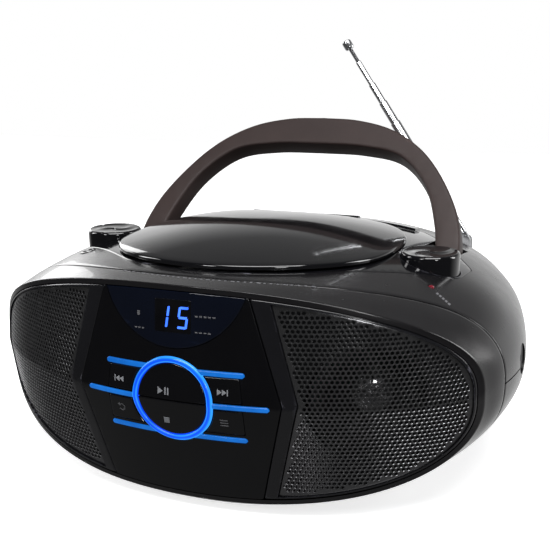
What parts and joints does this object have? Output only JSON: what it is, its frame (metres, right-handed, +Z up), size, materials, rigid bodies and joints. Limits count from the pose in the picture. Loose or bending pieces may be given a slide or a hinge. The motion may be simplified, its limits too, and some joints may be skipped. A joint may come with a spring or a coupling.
{
  "type": "portable cd radio",
  "caption": "Portable CD radio with oval case, disc lid, twin speakers, folding carrying handle, rotary knobs and telescopic antenna.",
  "frame": {"origin": "on the floor under the middle of the case", "axes": "+X to the right seen from the front, -Y is the front, +Z up"},
  "size_m": [0.2938, 0.2302, 0.2233],
  "materials": {
    "satin_shell": "satin moulded plastic, dark warm grey",
    "gloss_black": "high gloss black",
    "control_gloss": "gloss black control panel",
    "button_black": "gloss black keys with white symbols",
    "handle_brown": "satin brown-grey plastic",
    "grille_metal": "black painted perforated steel",
    "smoked_window": "dark smoked lens",
    "display": "display can",
    "light_blue": "lit light guide",
    "lamp_red": "red lens",
    "inner_black": "matt moulded plastic",
    "steel": "bright steel",
    "chrome": "polished chrome",
    "speaker_steel": "pressed steel frame",
    "cone_paper": "doped paper cone",
    "board_green": "circuit board",
    "transformer_iron": "varnished laminations",
    "rubber": "matt black rubber"
  },
  "bodies": {
    "case": {"front_bezel": "satin_shell", "top_shell": "satin_shell", "bottom_shell": "satin_shell", "deck_plate": "gloss_black", "center_panel": "control_gloss", "baffle_left": "gloss_black", "baffle_right": "gloss_black", "grille_left": "grille_metal", "grille_right": "grille_metal", "display_window": "smoked_window", "display_module": "display", "light_guide": "light_blue", "front_board": "board_green", "cd_well": "inner_black", "lid_hinge_strip": "gloss_black", "lid_hinge_pin": "steel", "spindle_motor": "steel", "sled_rail": "steel", "handle_bracket_left": "inner_black", "handle_bracket_right": "inner_black", "handle_pin_left": "steel", "handle_pin_right": "steel", "volume_pot": "steel", "tuning_capacitor": "steel", "stereo_lamp": "lamp_red", "antenna_socket": "inner_black", "speaker_basket_left": "speaker_steel", "speaker_basket_right": "speaker_steel", "speaker_cone_left": "cone_paper", "speaker_cone_right": "cone_paper", "main_board": "board_green", "transformer": "transformer_iron", "mains_inlet": "inner_black", "aux_jack": "inner_black", "battery_tray": "inner_black", "foot_front_left": "rubber", "foot_front_right": "rubber", "foot_rear_left": "rubber", "foot_rear_right": "rubber"},
    "lid": {"cd_lid": "gloss_black"},
    "handle_frame": {"handle": "handle_brown"},
    "hub": {"spindle_hub": "inner_black"},
    "sled": {"laser_sled": "inner_black"},
    "battery_cover": {"battery_door": "satin_shell"},
    "swivel": {"antenna_swivel": "chrome"},
    "tube_1": {"antenna_tube_1": "chrome"},
    "tube_2": {"antenna_tube_2": "chrome"},
    "tube_3": {"antenna_tube_3": "chrome"},
    "tube_4": {"antenna_tube_4": "chrome"},
    "tip": {"antenna_rod": "chrome"},
    "volume": {"volume_knob": "gloss_black"},
    "tuning": {"tuning_knob": "gloss_black"},
    "mode": {"mode_button": "button_black"},
    "play_key": {"play_pause_button": "button_black"},
    "stop_key": {"stop_button": "button_black"},
    "back_key": {"skip_back_button": "button_black"},
    "forward_key": {"skip_forward_button": "button_black"},
    "repeat_key": {"repeat_button": "button_black"},
    "program_key": {"program_button": "button_black"}
  },
  "joints": [
    {"name": "lid_hinge", "type": "hinge", "parent": "case", "child": "lid", "pos_m": [0, 0.066, 0.116], "axis": [-1, 0, 0], "range_deg": [0, 60]},
    {"name": "handle_hinge", "type": "hinge", "parent": "case", "child": "handle_frame", "pos_m": [0, 0.0373, 0.0935], "axis": [-1, 0, 0], "range_deg": [-41, 1.5]},
    {"name": "volume_turn", "type": "hinge", "parent": "case", "child": "volume", "pos_m": [-0.0966, -0.002, 0.11], "axis": [0, 0, 1], "range_deg": [-135, 135]},
    {"name": "tuning_turn", "type": "hinge", "parent": "case", "child": "tuning", "pos_m": [0.0966, -0.002, 0.11], "axis": [0, 0, 1], "range_deg": [-135, 135]},
    {"name": "mode_press", "type": "slide", "parent": "case", "child": "mode", "axis": [0.2502, 0.0506, -0.9669], "range_m": [0, 0.0012], "stiffness_N_per_m": 400, "springref_m": -0.0003},
    {"name": "hub_spin", "type": "hinge", "parent": "case", "child": "hub", "pos_m": [0, -0.006, 0.1], "axis": [0, 0, 1], "continuous": true},
    {"name": "sled_travel", "type": "slide", "parent": "case", "child": "sled", "axis": [0, -1, 0], "range_m": [0, 0.03]},
    {"name": "battery_cover_swing", "type": "hinge", "parent": "case", "child": "battery_cover", "pos_m": [0, 0.1147, 0.0294], "axis": [-1, 0, 0], "range_deg": [0, 80]},
    {"name": "antenna_turn", "type": "hinge", "parent": "case", "child": "swivel", "pos_m": [0.092, 0.1106, 0.0989], "axis": [0, 0, -1], "range_deg": [0, 180]},
    {"name": "antenna_tilt", "type": "hinge", "parent": "swivel", "child": "tube_1", "pos_m": [0.092, 0.1106, 0.0989], "axis": [0, 1, 0], "range_deg": [-36, 33]},
    {"name": "telescope_1", "type": "slide", "parent": "tube_1", "child": "tube_2", "axis": [-0.5505, 0, 0.8348], "range_m": [-0.0145, 0.05]},
    {"name": "telescope_2", "type": "slide", "parent": "tube_2", "child": "tube_3", "axis": [-0.5505, 0, 0.8348], "range_m": [-0.013, 0.046]},
    {"name": "telescope_3", "type": "slide", "parent": "tube_3", "child": "tube_4", "axis": [-0.5505, 0, 0.8348], "range_m": [-0.016, 0.04]},
    {"name": "telescope_4", "type": "slide", "parent": "tube_4", "child": "tip", "axis": [-0.5505, 0, 0.8348], "range_m": [-0.009, 0.036]},
    {"name": "play_press", "type": "slide", "parent": "case", "child": "play_key", "axis": [0, 1, 0], "range_m": [0, 0.001], "stiffness_N_per_m": 400, "springref_m": -0.0003},
    {"name": "stop_press", "type": "slide", "parent": "case", "child": "stop_key", "axis": [0, 1, 0], "range_m": [0, 0.001], "stiffness_N_per_m": 400, "springref_m": -0.0003},
    {"name": "back_press", "type": "slide", "parent": "case", "child": "back_key", "axis": [0, 1, 0], "range_m": [0, 0.001], "stiffness_N_per_m": 400, "springref_m": -0.0003},
    {"name": "forward_press", "type": "slide", "parent": "case", "child": "forward_key", "axis": [0, 1, 0], "range_m": [0, 0.001], "stiffness_N_per_m": 400, "springref_m": -0.0003},
    {"name": "repeat_press", "type": "slide", "parent": "case", "child": "repeat_key", "axis": [0, 1, 0], "range_m": [0, 0.001], "stiffness_N_per_m": 400, "springref_m": -0.0003},
    {"name": "program_press", "type": "slide", "parent": "case", "child": "program_key", "axis": [0, 1, 0], "range_m": [0, 0.001], "stiffness_N_per_m": 400, "springref_m": -0.0003}
  ]
}
